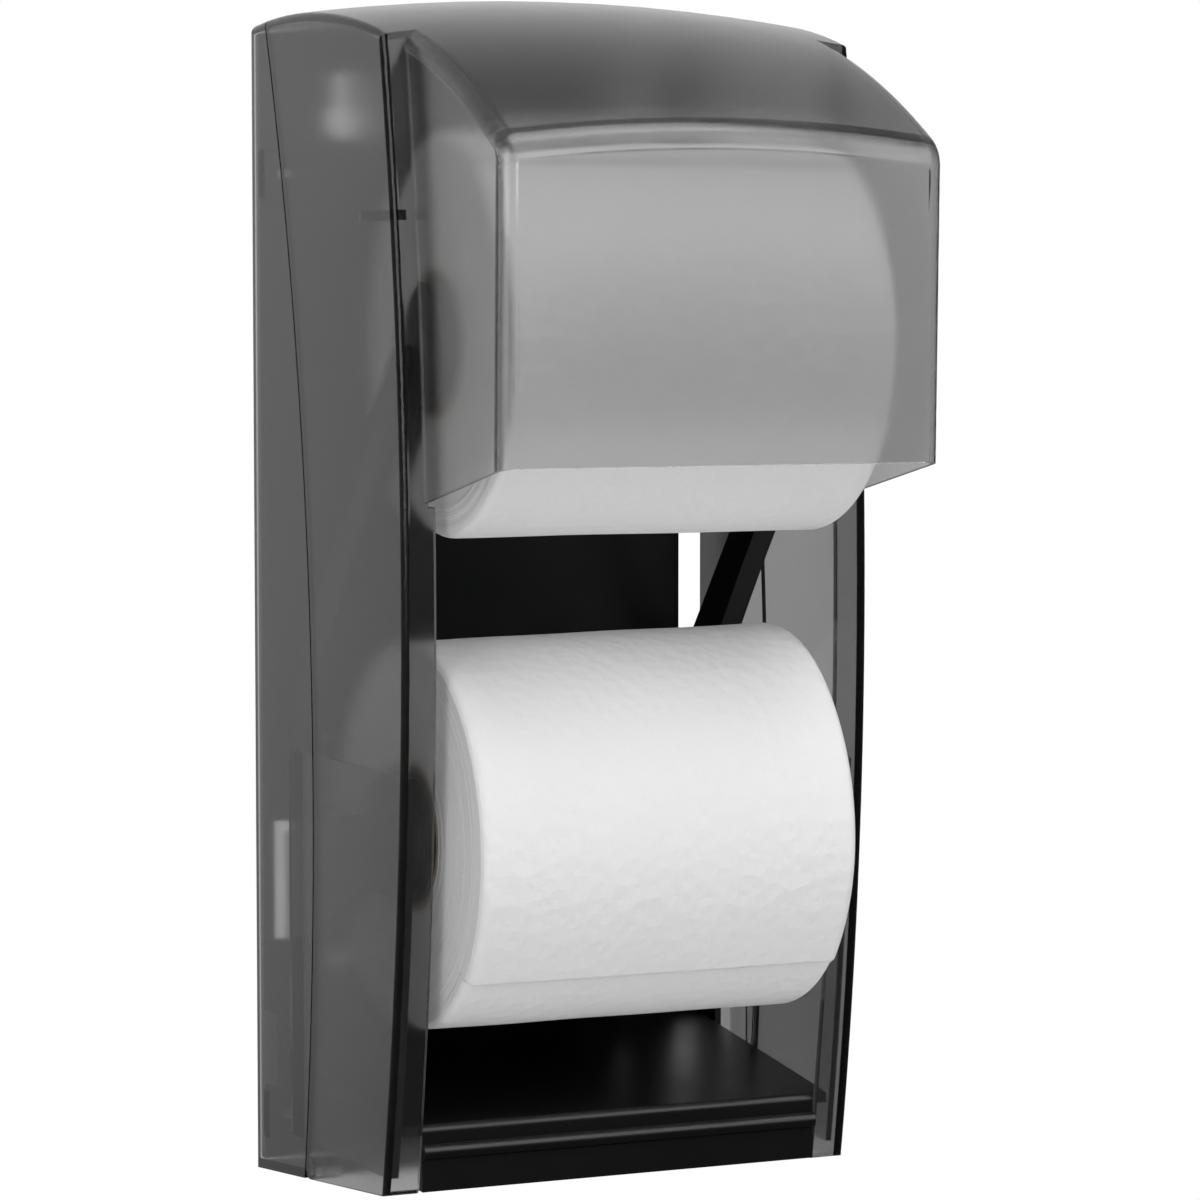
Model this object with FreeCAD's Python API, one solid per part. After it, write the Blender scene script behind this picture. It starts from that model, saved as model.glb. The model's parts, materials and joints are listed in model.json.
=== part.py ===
"""Twin-roll toilet paper dispenser for a wall, in millimetres.

The wall is the plane y = 0 and the dispenser stands out from it towards -Y.
The origin lies on the wall, midway between the two lower screw holes, with +Z up.
Heights below are measured from the lowest back edge of the housing.
"""
import FreeCAD, Part
import math
import os

V = FreeCAD.Vector
X_AXIS = V(1, 0, 0)
Y_AXIS = V(0, 1, 0)
Z_AXIS = V(0, 0, 1)

# Overall form
BODY_HEIGHT = 346.0
BACK_WIDTH = 150.0
SIDE_DRAFT = 2.3            # degrees, each side leans in towards the front
WALL = 2.6                  # smoke mouldings
TOP_RADIUS = 268.0          # top seen from the side
TOP_APEX_DEPTH = 28.0
CROWN_RADIUS = 522.0        # top seen from the front
BOTTOM_RISE = 10.4          # the lower edge climbs this much from the wall to the front
EDGE_ROUND = 2.2

# Front edge of the side panels, one long arc
FRONT_DEPTH = 114.0
FRONT_RADIUS = 880.0
FRONT_MID_SHARE = 0.497     # of the height, where the arc stands out furthest
FRONT_MID_HEIGHT = FRONT_MID_SHARE * BODY_HEIGHT
STRIP_INSET = 14.0          # the strips reach this far in from the widest point
WINDOW_WIDTH = BACK_WIDTH - 2 * STRIP_INSET

# Seam between the rear housing and the cover
SEAM_TOP_DEPTH = 10.0
SEAM_MID_DEPTH = 46.0
SEAM_MID_SHARE = 0.332
SEAM_MID_HEIGHT = SEAM_MID_SHARE * BODY_HEIGHT
SEAM_LOW_DEPTH = 38.0
SEAM_GAP = 0.6

# Hood over the reserve roll
HOOD_STEP = 10.5            # each side, in from the widest point
HOOD_WIDTH = BACK_WIDTH - 2 * HOOD_STEP
HOOD_DEPTH = 171.5
HOOD_EDGE_SLOPE = 11.4      # degrees, the lower edge drops towards the wall
HOOD_WALL = 1.5
HOOD_LEAN = 1.6             # the chin stands back from the brow
HOOD_ROUND = 4.6            # edges between its front, top and sides
BROW_ROUND = 9.5            # front edge of the top
HOOD_ROOT_DEPTH = 70.0

# Paper rolls
ROLL_SIDE_ROOM = 18.5       # from the widest point to each end of a roll
ROLL_WIDTH = BACK_WIDTH - 2 * ROLL_SIDE_ROOM
ROLL_RIM = 5.0
CORE_RADIUS = 21.0
CORE_WALL = 1.4
CORE_SLACK = 0.6            # core on its spindle
PAPER_SLACK = 0.1
SHEET_STEP = 0.7            # the loose end of the outer sheet
LOWER_ROLL_RADIUS = 55.0
LOWER_ROLL_SHARE = 0.314    # of the height
LOWER_ROLL_SETBACK = 32.0   # behind the front arc
UPPER_ROLL_RADIUS = 53.6
UPPER_ROLL_SHARE = 0.714
HOOD_ROOM = 9.4             # between the reserve roll and the hood's front
LOWER_ROLL = {"y": LOWER_ROLL_SETBACK - FRONT_DEPTH, "height": LOWER_ROLL_SHARE * BODY_HEIGHT,
              "radius": LOWER_ROLL_RADIUS, "tail": 221.0}
UPPER_ROLL = {"y": UPPER_ROLL_RADIUS + HOOD_ROOM + HOOD_WALL - HOOD_DEPTH,
              "height": UPPER_ROLL_SHARE * BODY_HEIGHT, "radius": UPPER_ROLL_RADIUS, "tail": 120.0}
HOOD_EDGE_DROP = 31.5       # from the reserve roll's middle to the hood's lower front edge
HOOD_EDGE_HEIGHT = UPPER_ROLL["height"] - HOOD_EDGE_DROP

# Side guide ribs inside the cover
GUIDE_RISE = 35.0           # above the reserve roll's middle
GUIDE_HEIGHT = UPPER_ROLL["height"] + GUIDE_RISE
GUIDE_THICK = 2.8
GUIDE_REACH = 2.0
GUIDE_BACK_DEPTH = 80.0

# Back plate and its wall fixings
PLATE_THICK = 3.0
PLATE_CLEAR = 0.3
SCREW_HEIGHT = 62.0
SCREW_EDGE = 30.0           # in from the widest point
SCREW_SPACING = BACK_WIDTH - 2 * SCREW_EDGE
SCREW_RADIUS = 2.75
KEYHOLE_DROP = 34.0         # below the top
KEYHOLE_RISE = BODY_HEIGHT - KEYHOLE_DROP - SCREW_HEIGHT
KEYHOLE_RADIUS = 5.8
KEYHOLE_SLOT_RADIUS = 3.1
KEYHOLE_SLOT_LENGTH = 11.5
NOTCH_WIDTH = 10.5
NOTCH_DROP = 14.0
RIGHT_NOTCH = (SCREW_HEIGHT - NOTCH_DROP, HOOD_EDGE_HEIGHT)
LEFT_NOTCH_RISE = 6.8
LEFT_NOTCH_TALL = 35.6
LEFT_NOTCH_RIM = 3.6        # plate left standing beside it
LEFT_NOTCH = (SCREW_HEIGHT + LEFT_NOTCH_RISE, SCREW_HEIGHT + LEFT_NOTCH_RISE + LEFT_NOTCH_TALL)
PLATE_CHEEK_DEPTH = 13.0    # short flanges beside the tray
PLATE_CHEEK_LOW = 26.0
PLATE_FLANGE_DEPTH = 23.0   # beside the right opening
PLATE_FLANGE_THICK = 2.0
PLATE_FLANGE_LAP = 9.0      # past the ends of the opening

# Corner tabs of the housing that carry the plate
TAB_WIDTH = 12.0
TAB_TALL = 14.0
TAB_DEPTH = 5.0
TAB_LOW_HEIGHT = 17.0
TAB_HIGH_DROP = 50.0
TAB_HIGH_HEIGHT = BODY_HEIGHT - TAB_HIGH_DROP

# Inner cheeks of the housing, which double the lower side panels
CHEEK_THICK = 1.8
CHEEK_GAP = 0.5             # to the cover
CHEEK_TOP_SHARE = 0.371     # of the height
CHEEK_TOP = CHEEK_TOP_SHARE * BODY_HEIGHT
CHEEK_LOW = 15.0
CHEEK_BACK_DEPTH = 25.0
CHEEK_FRONT_GAP = 1.2
CHEEK_ROOT_DEPTH = 36.0     # as far as this it is one with the side wall

# Self-tapping screws, driven from behind the plate
TAPPER_RADIUS = 1.5
TAPPER_HEAD_RADIUS = 3.0
TAPPER_HEAD_THICK = 1.4
TAPPER_LENGTH = 7.0
TAPPER_CLEAR = 0.05
SINK_DEPTH = 1.6

# Roll arms
ARM_CLEAR = 1.5             # between roll end and arm
ARM_THICK = 3.6
ARM_RIB_THICK = 3.2         # stouter towards the plate
ARM_RIB_DEPTH = 96.0
ARM_EYE_RADIUS = 17.0
ARM_NECK_RADIUS = 8.0       # the web's lines pass the eye's middle at this distance
ARM_FOOT_WIDTH = 9.0
ARM_FOOT_THICK = 4.0
UPPER_ARM_ROOT = (104.0, 138.0)
LOWER_ARM_ROOT = (68.0, 101.0)
UPPER_ARM_BOW = 6.0
LOWER_ARM_BOW = -4.0

# Telescoping spindles
STUB_RADIUS = 4.0
STUB_CLEAR = 0.3
SLEEVE_END = 8.0            # x of the sleeve's open mouth
SLEEVE_WALL = 2.7
SLIP = 0.3                  # plunger inside sleeve
PLUNGER_TRAVEL = 10.0
PLUNGER_OVERLAP = 18.0
PLUNGER_SEAT = 8.0
SPINDLE_END_GAP = 0.5
SPINDLE_COIL_RADIUS = 9.0
SPINDLE_WIRE_RADIUS = 0.8
SPINDLE_COIL_TURNS = 7

# Tray under the lower roll
TRAY_THICK = 3.0
TRAY_BACK_HEIGHT = 40.0
TRAY_FRONT_HEIGHT = 29.6
TRAY_FRONT_DEPTH = 100.5
TRAY_SIDE_CLEAR = 3.0
TRAY_STRIP_CLEAR = 1.5
LIP_THICK = 3.0
LIP_LOW_HEIGHT = 11.0
LIP_END_CLEAR = 0.6
BEAD_RADIUS = 2.2
BEAD_HEIGHT = 22.2
LIP_ROUND = 2.2             # along the tray's front edge
TRAY_FLANGE_TALL = 12.0
TRAY_FLANGE_WIDTH = SCREW_SPACING
TRAY_SCREW_EDGE = 15.0
TRAY_SCREW_SPACING = TRAY_FLANGE_WIDTH - 2 * TRAY_SCREW_EDGE

# Cover hinge at the heel, on ears of the rear housing
HINGE_SETBACK = 4.4         # in front of the seam's foot
HINGE_DEPTH = SEAM_LOW_DEPTH + HINGE_SETBACK
HINGE_PIN_RADIUS = 1.8
HINGE_PIN_FIT = 0.06
HINGE_END_GAP = 0.5
LUG_RADIUS = HINGE_SETBACK - 2 * SEAM_GAP
LUG_LENGTH = 2.4
EAR_LENGTH = 5.0
EAR_GAP = 0.5
EAR_ROOT_DEPTH = 24.0

# Key latch under the top
LATCH_WIDTH = 18.0
LATCH_THICK = 3.0
LATCH_BACK_GAP = 0.8
LATCH_TOP_SINK = 4.6        # released, the latch stands this far below the top
LATCH_LENGTH = 24.0
LATCH_TRAVEL = 4.0
LATCH_SLIP = 0.4
LATCH_ARM_DROP = 12.0
LATCH_ARM_THICK = 3.0
LATCH_TOOTH_TALL = 5.0
LATCH_TOOTH_THICK = 3.0
CATCH_THICK = 2.4
CATCH_DEPTH = 14.5
CATCH_CLEAR = 1.2
GUIDE_RAIL_WIDTH = 3.6
GUIDE_BRIDGE_THICK = 2.0
GUIDE_BRIDGE_TALL = 7.0
LATCH_FOOT_GAP = 2.0        # under the released latch
LATCH_SEAT_THICK = 2.5

# Reach of the blocks that trim the mouldings, beyond every wall
BEYOND = 40.0

HALF_BACK = BACK_WIDTH / 2
LEAN = math.tan(math.radians(SIDE_DRAFT))
ROLL_END = ROLL_WIDTH / 2
ARM_INNER = ROLL_END + ARM_CLEAR
ARM_OUTER = ARM_INNER + ARM_THICK
CORE_BORE = CORE_RADIUS - CORE_WALL
SPINDLE_RADIUS = CORE_BORE - CORE_SLACK
FRONT_LOW_HEIGHT = BOTTOM_RISE
SEAM_TOP_HEIGHT = BODY_HEIGHT - 4.0


def at(y, height, x=0.0):
    """Point from depth, height over the lowest back edge and side offset."""
    return V(x, y, height - SCREW_HEIGHT)


def line(a, b):
    return Part.LineSegment(a, b).toShape()


def arc(a, middle, b):
    return Part.Arc(a, middle, b).toShape()


def bowed(a, b, bow):
    """Arc from a to b in the side view that stands bow away from its chord."""
    chord = b - a
    across = V(0, -chord.z, chord.y)
    across.normalize()
    return arc(a, (a + b) * 0.5 + across * bow, b)


def prism(edges, x0, x1):
    """Side-view outline carried from x0 to x1."""
    face = Part.Face(Part.Wire(edges))
    face.translate(V(x0, 0, 0))
    return face.extrude(V(x1 - x0, 0, 0))


def polygon(points):
    return [line(a, b) for a, b in zip(points, points[1:] + points[:1])]


def box(x0, x1, y0, y1, low, high):
    corner = at(y0, low, x0)
    return Part.makeBox(x1 - x0, y1 - y0, high - low, corner)


def rod_x(radius, x0, x1, y, height):
    return Part.makeCylinder(radius, x1 - x0, at(y, height, x0), X_AXIS)


def rod_y(radius, y0, y1, x, height):
    return Part.makeCylinder(radius, y1 - y0, at(y0, height, x), Y_AXIS)


def mirrored(shape):
    return shape.mirror(V(0, 0, 0), X_AXIS)


def joined(shapes):
    whole = shapes[0].fuse(shapes[1:]) if len(shapes) > 1 else shapes[0]
    return whole.removeSplitter()


def crown_block(inset, front_inset=0.0):
    """All space under the crowned top and behind the hood's front, drawn in by the insets."""
    middle = at(-TOP_APEX_DEPTH, BODY_HEIGHT - TOP_RADIUS)
    radius, brow = TOP_RADIUS - inset, BROW_ROUND - inset
    front_y = front_inset - HOOD_DEPTH
    drop = front_y + brow - middle.y
    centre = V(0, front_y + brow, middle.z + math.sqrt((radius - brow) ** 2 - drop ** 2))
    away = (centre - middle).normalize()
    crest, face_top = middle + away * radius, V(0, front_y, centre.z)
    bulge = centre + (away + V(0, -1, 0)).normalize() * brow
    back_turn = math.radians(10.0)
    back = middle + V(0, radius * math.sin(back_turn), radius * math.cos(back_turn))
    apex = middle + V(0, 0, radius)
    low = -SCREW_HEIGHT - BEYOND
    lean = HOOD_LEAN / (face_top.z - HOOD_EDGE_HEIGHT + SCREW_HEIGHT)
    low_front = V(0, front_y + lean * (face_top.z - low), low)
    low_back = V(0, back.y, low)
    edges = [arc(back, apex, crest), arc(crest, bulge, face_top), line(face_top, low_front)]
    edges += [line(low_front, low_back), line(low_back, back)]
    face = Part.Face(Part.Wire(edges))
    pivot = at(0, BODY_HEIGHT - CROWN_RADIUS)
    sweep = 40.0
    face.rotate(pivot, Y_AXIS, -sweep)
    return face.revolve(pivot, Y_AXIS, 2 * sweep)


def half_width(depth, inset=0.0):
    """Half the width of the drafted body at a depth from the wall."""
    return HALF_BACK - depth * LEAN - inset / math.cos(math.radians(SIDE_DRAFT))


def draft_block(inset):
    """Space between the two leaning side faces, drawn in by inset."""
    reach = HOOD_DEPTH + BEYOND
    wide, narrow = half_width(-BEYOND, inset), half_width(reach, inset)
    low = -SCREW_HEIGHT - BEYOND
    corners = [V(-wide, BEYOND, low), V(wide, BEYOND, low)]
    corners += [V(narrow, -reach, low), V(-narrow, -reach, low)]
    face = Part.Face(Part.Wire(polygon(corners)))
    return face.extrude(V(0, 0, BODY_HEIGHT + 2 * BEYOND))


def front_depth(height, inset=0.0):
    """Depth of the side panels' front arc at a height."""
    radius = FRONT_RADIUS - inset
    drop = height - FRONT_MID_HEIGHT
    return FRONT_DEPTH - FRONT_RADIUS + math.sqrt(radius ** 2 - drop ** 2)


def bottom_height(depth):
    """Height of the sloping lower edge at a depth."""
    return BOTTOM_RISE * depth / front_depth(FRONT_LOW_HEIGHT)


HINGE_HEIGHT = bottom_height(HINGE_DEPTH) + LUG_RADIUS


def seam_arc(gap):
    """Seam from the lower edge to the top, set forward by a gap."""
    low_depth = SEAM_LOW_DEPTH + gap
    low = at(-low_depth, bottom_height(low_depth))
    middle = at(-SEAM_MID_DEPTH - gap, SEAM_MID_HEIGHT)
    high = at(-SEAM_TOP_DEPTH - gap, SEAM_TOP_HEIGHT)
    return arc(low, middle, high), low, high


def cover_body():
    """Side profile of the cover between seam and front arc, across the full width."""
    seam, low, high = seam_arc(SEAM_GAP)
    top = BODY_HEIGHT - 8.0
    nose = at(-front_depth(FRONT_LOW_HEIGHT), FRONT_LOW_HEIGHT)
    brow = at(-front_depth(top), top)
    middle = at(-FRONT_DEPTH, FRONT_MID_HEIGHT)
    past, crest = at(high.y, BODY_HEIGHT + BEYOND), at(brow.y, BODY_HEIGHT + BEYOND)
    edges = [seam, line(high, past), line(past, crest), line(crest, brow)]
    edges += [arc(brow, middle, nose), line(nose, low)]
    body = prism(edges, -BACK_WIDTH, BACK_WIDTH)
    heel = edges_where(body, lambda p: (p - V(p.x, low.y, low.z)).Length < 0.01)
    return body.makeFillet(LUG_RADIUS, heel)


def cover_hollow():
    """Room inside the cover's body, open below and behind."""
    top, low = BODY_HEIGHT - 8.0, -BEYOND
    brow, nose = at(-front_depth(top, WALL), top), at(-front_depth(low, WALL), low)
    middle = at(-FRONT_DEPTH + WALL, FRONT_MID_HEIGHT)
    crest = at(brow.y, BODY_HEIGHT + BEYOND)
    back_high, back_low = at(-1.0, BODY_HEIGHT + BEYOND), at(-1.0, low)
    edges = [line(back_low, back_high), line(back_high, crest), line(crest, brow)]
    edges += [arc(brow, middle, nose), line(nose, back_low)]
    return prism(edges, -BACK_WIDTH, BACK_WIDTH)


def hood_edge_height(depth):
    return HOOD_EDGE_HEIGHT - (HOOD_DEPTH - depth) * math.tan(math.radians(HOOD_EDGE_SLOPE))


def hood_prism(inset, bottom_drop):
    """Side profile of the hood from inside the body to beyond its front, before trimming."""
    half = HOOD_WIDTH / 2 - inset
    depth = HOOD_DEPTH + BEYOND
    top = BODY_HEIGHT + BEYOND
    root = at(-HOOD_ROOT_DEPTH, hood_edge_height(HOOD_ROOT_DEPTH) - bottom_drop)
    chin = at(-depth, hood_edge_height(depth) - bottom_drop)
    edges = polygon([root, at(-HOOD_ROOT_DEPTH, top), at(-depth, top), chin])
    return prism(edges, -half, half)


def edges_where(shape, test):
    """Edges of a shape whose end points all satisfy test."""
    return [edge for edge in shape.Edges if all(test(v.Point) for v in edge.Vertexes)]


def hood_rim(shape, inset):
    """Edges between the hood's sides and its front, brow and top, drawn in by inset."""
    half = HOOD_WIDTH / 2 - inset
    edges = edges_where(shape, lambda p: abs(abs(p.x) - half) < 0.01)
    ahead = [e for e in edges if e.CenterOfMass.y < -FRONT_DEPTH - 1.0]
    return [e for e in ahead
            if e.CenterOfMass.z > hood_edge_height(-e.CenterOfMass.y) - SCREW_HEIGHT + 1.0
            and abs(e.CenterOfMass.x) > half - 1.0]


def on_side(point):
    """Whether a point lies on a leaning side face of the body."""
    return abs(abs(point.x) - half_width(-point.y)) < 0.01


def make_cover():
    """Smoke cover: side panels, front strips and hood in one moulding."""
    outer = cover_body().common(draft_block(0.0)).fuse(hood_prism(0.0, 0.0))
    outer = outer.common(crown_block(0.0)).removeSplitter()
    strip_y = HINGE_DEPTH - front_depth(FRONT_LOW_HEIGHT)
    shoulder = SEAM_TOP_HEIGHT - SCREW_HEIGHT - BEYOND

    def on_panel_rim(p):
        return on_side(p) and (p.y < strip_y or p.z > shoulder)

    outer = outer.makeFillet(HOOD_ROUND, hood_rim(outer, 0.0))
    outer = outer.makeFillet(EDGE_ROUND, edges_where(outer, on_panel_rim))
    inner = cover_hollow().common(draft_block(WALL)).fuse(hood_prism(HOOD_WALL, 1.0))
    inner = inner.common(crown_block(WALL, HOOD_WALL)).removeSplitter()
    inner = inner.makeFillet(HOOD_ROUND - HOOD_WALL, hood_rim(inner, HOOD_WALL))
    half = WINDOW_WIDTH / 2
    window = box(-half, half, -FRONT_DEPTH - 1.0, -HOOD_ROOT_DEPTH, -BEYOND, hood_edge_height(FRONT_DEPTH))
    cover = outer.cut(inner).cut(window)
    cover = joined([cover, catch_rib()] + [side(f()) for f in (guide_rib, hinge_lug) for side in SIDES])
    return cover.cut(rod_x(HINGE_PIN_RADIUS + HINGE_PIN_FIT, -hinge_pin_end(), hinge_pin_end(),
                           -HINGE_DEPTH, HINGE_HEIGHT))


def guide_rib():
    """Low rib inside a side panel that centres the reserve roll."""
    low, high = GUIDE_HEIGHT - GUIDE_THICK / 2, GUIDE_HEIGHT + GUIDE_THICK / 2
    front = front_depth(GUIDE_HEIGHT) - WALL / 2
    bar = box(half_width(front, WALL) - GUIDE_REACH, HALF_BACK, -front, -GUIDE_BACK_DEPTH, low, high)
    return bar.common(draft_block(WALL / 2))


def hinge_lug():
    """Boss inside the heel of a side panel that turns on its hinge pin."""
    lug = rod_x(LUG_RADIUS, lug_face(), HALF_BACK, -HINGE_DEPTH, HINGE_HEIGHT)
    return lug.common(draft_block(WALL / 2))


def lug_face():
    return half_width(HINGE_DEPTH, WALL) - LUG_LENGTH


def hinge_pin_end():
    """End of the blind bore in the cover, short of the outer face."""
    return half_width(HINGE_DEPTH, WALL / 2)


def latch_back():
    return -PLATE_THICK - LATCH_BACK_GAP


def latch_front():
    return latch_back() - LATCH_THICK


def latch_top():
    return BODY_HEIGHT - LATCH_TOP_SINK


def catch_rib():
    """Rib under the cover's top that the raised latch tooth holds back."""
    low = latch_top() - LATCH_ARM_DROP + LATCH_TOOTH_TALL + CATCH_CLEAR
    half = LATCH_WIDTH / 2
    rib = box(-half, half, -CATCH_DEPTH - CATCH_THICK, -CATCH_DEPTH, low, BODY_HEIGHT)
    return rib.common(crown_block(WALL / 2))


def make_rear_housing():
    """Smoke rear frame: side, top and bottom walls behind the seam."""
    seam, low, high = seam_arc(0.0)
    past, back_high = at(high.y, BODY_HEIGHT + BEYOND), at(0.0, BODY_HEIGHT + BEYOND)
    back_low = at(0.0, 0.0)
    edges = [seam, line(high, past), line(past, back_high), line(back_high, back_low), line(back_low, low)]
    outer = prism(edges, -BACK_WIDTH, BACK_WIDTH).common(draft_block(0.0)).common(crown_block(0.0))
    shoulder = SEAM_TOP_HEIGHT - SCREW_HEIGHT - BEYOND
    outer = outer.makeFillet(EDGE_ROUND, edges_where(outer, lambda p: on_side(p) and p.z > shoulder))
    hollow = polygon([at(1.0, WALL), at(-FRONT_DEPTH, bottom_height(FRONT_DEPTH) + WALL),
                      at(-FRONT_DEPTH, BODY_HEIGHT + BEYOND), at(1.0, BODY_HEIGHT + BEYOND)])
    inner = prism(hollow, -BACK_WIDTH, BACK_WIDTH).common(draft_block(WALL)).common(crown_block(WALL))
    tabs = [side(corner_tab(h)) for h in tab_heights() for side in SIDES]
    inside = [side(f()) for f in (hinge_ear, cheek) for side in SIDES]
    frame = joined([outer.cut(inner)] + tabs + inside)
    slot_half = LATCH_WIDTH / 2 + LATCH_SLIP
    slot = box(-slot_half, slot_half, latch_front() - LATCH_SLIP, latch_back() + LATCH_SLIP,
               latch_top() - LATCH_LENGTH, BODY_HEIGHT + 1.0)
    pilots = [rod_y(TAPPER_RADIUS + TAPPER_CLEAR, -PLATE_THICK - TAB_DEPTH - 1.0, 0.0, x, h)
              for x, h in plate_screw_places()]
    bores = [side(rod_x(HINGE_PIN_RADIUS + HINGE_PIN_FIT, 0.0, lug_face(), -HINGE_DEPTH, HINGE_HEIGHT))
             for side in SIDES]
    return frame.cut([slot] + pilots + bores)


def cheek():
    """Right-hand inner panel behind the lower part of the cover's side."""
    reach = WALL + CHEEK_FRONT_GAP
    low_front = at(-front_depth(CHEEK_LOW, reach), CHEEK_LOW)
    high_front = at(-front_depth(CHEEK_TOP, reach), CHEEK_TOP)
    half_way = (CHEEK_LOW + CHEEK_TOP) / 2
    middle = at(-front_depth(half_way, reach), half_way)
    edges = [arc(low_front, middle, high_front)]
    rear = [high_front, at(-CHEEK_BACK_DEPTH, CHEEK_TOP), at(-CHEEK_BACK_DEPTH, CHEEK_LOW), low_front]
    edges += [line(a, b) for a, b in zip(rear, rear[1:])]
    sheet = prism(edges, 0.0, BACK_WIDTH)
    panel = sheet.common(draft_block(WALL + CHEEK_GAP))
    root = sheet.common(draft_block(WALL / 2))
    root = root.common(box(0.0, BACK_WIDTH, -CHEEK_ROOT_DEPTH, 0.0, -BEYOND, BODY_HEIGHT))
    return panel.fuse(root).cut(draft_block(WALL + CHEEK_GAP + CHEEK_THICK))


def ear_outer():
    return lug_face() - EAR_GAP


def hinge_ear():
    """Right-hand ear that stands forward of the seam from the bottom wall."""
    root_low = at(-EAR_ROOT_DEPTH, bottom_height(EAR_ROOT_DEPTH) + WALL / 2)
    seam_low = at(-SEAM_LOW_DEPTH, bottom_height(SEAM_LOW_DEPTH) + WALL / 2)
    under = at(-HINGE_DEPTH, HINGE_HEIGHT - LUG_RADIUS)
    nose = at(-HINGE_DEPTH - LUG_RADIUS, HINGE_HEIGHT)
    over = at(-HINGE_DEPTH, HINGE_HEIGHT + LUG_RADIUS)
    edges = [line(root_low, seam_low), line(seam_low, under), arc(under, nose, over), line(over, root_low)]
    return prism(edges, ear_outer() - EAR_LENGTH, ear_outer())


def tab_heights():
    return (TAB_LOW_HEIGHT, TAB_HIGH_HEIGHT)


def tab_x():
    return half_width(PLATE_THICK, WALL) - TAB_WIDTH / 2


def corner_tab(height):
    """Block on the housing's side wall that the plate is screwed to."""
    reach = tab_x() - TAB_WIDTH / 2
    block = box(reach, HALF_BACK, -PLATE_THICK - TAB_DEPTH, -PLATE_THICK,
                height - TAB_TALL / 2, height + TAB_TALL / 2)
    return block.common(draft_block(WALL / 2))


def plate_screw_places():
    return [(sign * tab_x(), h) for h in tab_heights() for sign in (-1, 1)]


def arm_screw_places():
    x = ARM_INNER - ARM_FOOT_WIDTH / 2
    heights = []
    for low, high in (UPPER_ARM_ROOT, LOWER_ARM_ROOT):
        quarter = (high - low) / 4
        heights += [low + quarter, high - quarter]
    return [(sign * x, h) for h in heights for sign in (-1, 1)]


def tray_screw_places():
    height = TRAY_BACK_HEIGHT + TRAY_FLANGE_TALL / 2
    return [(sign * TRAY_SCREW_SPACING / 2, height) for sign in (-1, 1)]


def tapper(x, height):
    """Pan-head screw with its head sunk in the back of the plate."""
    seat = -SINK_DEPTH
    head = rod_y(TAPPER_HEAD_RADIUS, seat, seat + TAPPER_HEAD_THICK, x, height)
    return head.fuse(rod_y(TAPPER_RADIUS, seat - TAPPER_LENGTH + 0.8, seat, x, height))


def tapper_hole(x, height):
    """Clearance through the plate with a sunk seat for the head."""
    sink = rod_y(TAPPER_HEAD_RADIUS + 0.3, -SINK_DEPTH, 1.0, x, height)
    return sink.fuse(rod_y(TAPPER_RADIUS + TAPPER_CLEAR, -2 * PLATE_THICK, 0.0, x, height))


def keyhole(x, height):
    """Round entry with a narrow slot above it, as the dispenser hangs on a screw."""
    past = PLATE_THICK + 1.0
    slot = box(x - KEYHOLE_SLOT_RADIUS, x + KEYHOLE_SLOT_RADIUS, -past, 1.0,
               height, height + KEYHOLE_SLOT_LENGTH)
    top = rod_y(KEYHOLE_SLOT_RADIUS, -past, 1.0, x, height + KEYHOLE_SLOT_LENGTH)
    return rod_y(KEYHOLE_RADIUS, -past, 1.0, x, height).fuse([slot, top])


def make_back_plate():
    """Black plate that closes the back and carries arms, tray and latch."""
    inset = WALL + PLATE_CLEAR
    half = half_width(PLATE_THICK, inset)
    low = bottom_height(PLATE_THICK) + inset
    plate = box(-half, half, -PLATE_THICK, 0.0, low, BODY_HEIGHT)
    notch_low, notch_high = RIGHT_NOTCH
    short = box(-half, half, -PLATE_CHEEK_DEPTH, 0.0, PLATE_CHEEK_LOW, notch_low)
    tall = box(0.0, half, -PLATE_FLANGE_DEPTH, 0.0, notch_low, notch_high + PLATE_FLANGE_LAP)
    flanges = short.fuse(tall).common(draft_block(inset)).cut(draft_block(inset + PLATE_FLANGE_THICK))
    opening = box(half - NOTCH_WIDTH, half + 1.0, -PLATE_THICK - 1.0, 1.0, notch_low, notch_high)
    plate = joined([plate.cut(opening), flanges]).common(crown_block(inset))
    cuts = []
    cuts.append(box(LEFT_NOTCH_RIM - half, NOTCH_WIDTH - half, -PLATE_THICK - 1.0, 1.0, *LEFT_NOTCH))
    for sign in (-1, 1):
        x = sign * SCREW_SPACING / 2
        cuts.append(rod_y(SCREW_RADIUS, -PLATE_THICK - 1.0, 1.0, x, SCREW_HEIGHT))
        cuts.append(keyhole(x, SCREW_HEIGHT + KEYHOLE_RISE))
    for places in (plate_screw_places(), arm_screw_places(), tray_screw_places()):
        cuts += [tapper_hole(x, h) for x, h in places]
    return plate.cut(cuts).removeSplitter()


def tangent_point(point, centre, radius, side):
    """Where the line from point touches a circle in the side view."""
    away = centre - point
    distance = away.Length
    swing = side * math.asin(radius / distance)
    reach = math.sqrt(distance ** 2 - radius ** 2)
    y = away.y * math.cos(swing) - away.z * math.sin(swing)
    z = away.y * math.sin(swing) + away.z * math.cos(swing)
    return point + V(0, y, z) * (reach / distance)


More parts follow.
